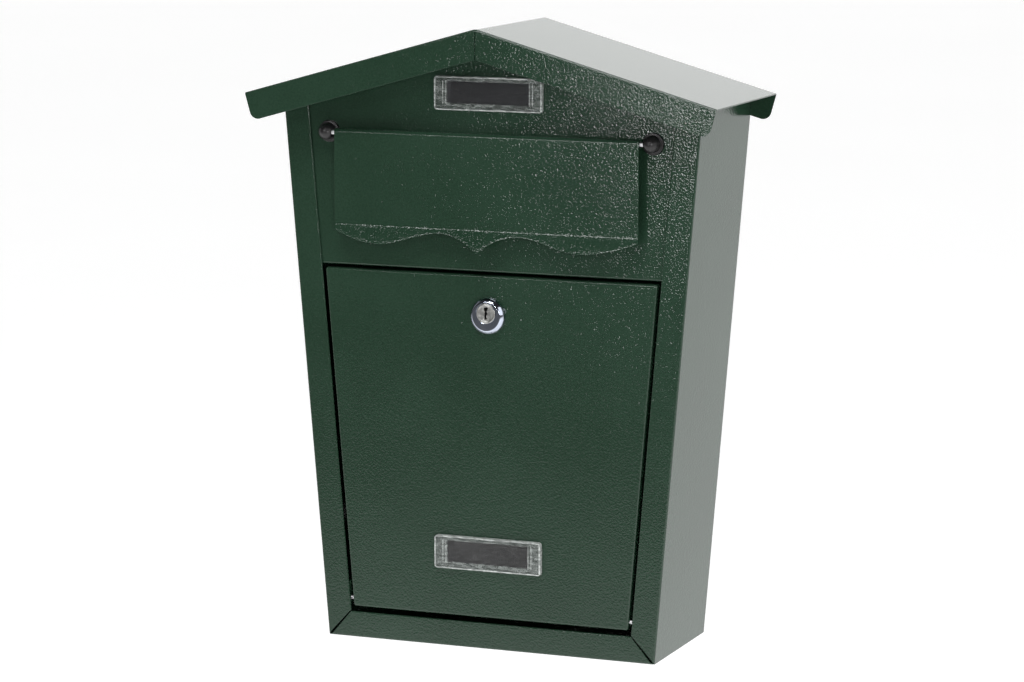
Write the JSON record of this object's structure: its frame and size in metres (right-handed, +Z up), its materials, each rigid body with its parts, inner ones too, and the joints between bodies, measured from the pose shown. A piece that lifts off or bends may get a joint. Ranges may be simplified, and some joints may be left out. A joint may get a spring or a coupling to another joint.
{
  "type": "wall mounted mailbox",
  "caption": "Wall mounted sheet steel mailbox with a gable roof, a swinging letter flap over a slot, a bottom hinged front door with a cam lock, and clear name plates.",
  "frame": {"origin": "on the wall plane, in the middle of the four wall holes", "axes": "+X to the right seen from the front, +Y back into the wall, +Z up"},
  "size_m": [0.286, 0.107, 0.36],
  "materials": {
    "green_paint": "dark green textured powder coat",
    "zinc_plate": "zinc plated",
    "lock_chrome": "satin chrome plate",
    "wafer_brass": "plain",
    "black_plastic": "moulded",
    "clear_plastic": "clear polystyrene",
    "dark_card": "matt"
  },
  "bodies": {
    "housing": {"roof": "green_paint", "left_side": "green_paint", "right_side": "green_paint", "back_panel": "green_paint", "bottom_pan": "green_paint", "front_panel": "green_paint", "left_hinge_ear": "green_paint", "right_hinge_ear": "green_paint", "left_hinge_pin": "zinc_plate", "right_hinge_pin": "zinc_plate", "flap_rod": "zinc_plate", "left_rod_bracket": "black_plastic", "right_rod_bracket": "black_plastic", "upper_plate_cover": "clear_plastic", "upper_name_card": "dark_card"},
    "front_door": {"door": "green_paint", "lower_plate_cover": "clear_plastic", "lower_name_card": "dark_card", "lock_housing": "lock_chrome", "lock_washer": "zinc_plate", "lock_nut": "zinc_plate"},
    "lock_core": {"lock_plug": "lock_chrome", "lock_wafers": "wafer_brass", "lock_cam": "zinc_plate", "cam_screw": "zinc_plate"},
    "flap": {"letter_flap": "green_paint"}
  },
  "joints": [
    {"name": "door_hinge", "type": "hinge", "parent": "housing", "child": "front_door", "pos_m": [0, -0.08405, -0.137], "axis": [1, 0, 0], "range_deg": [0, 135]},
    {"name": "lock_turn", "type": "hinge", "parent": "front_door", "child": "lock_core", "pos_m": [0, -0.08, 0.037], "axis": [0, 1, 0], "range_deg": [0, 90]},
    {"name": "flap_hinge", "type": "hinge", "parent": "housing", "child": "flap", "pos_m": [0, -0.0912, 0.1373], "axis": [-1, 0, 0], "range_deg": [0, 120]}
  ]
}
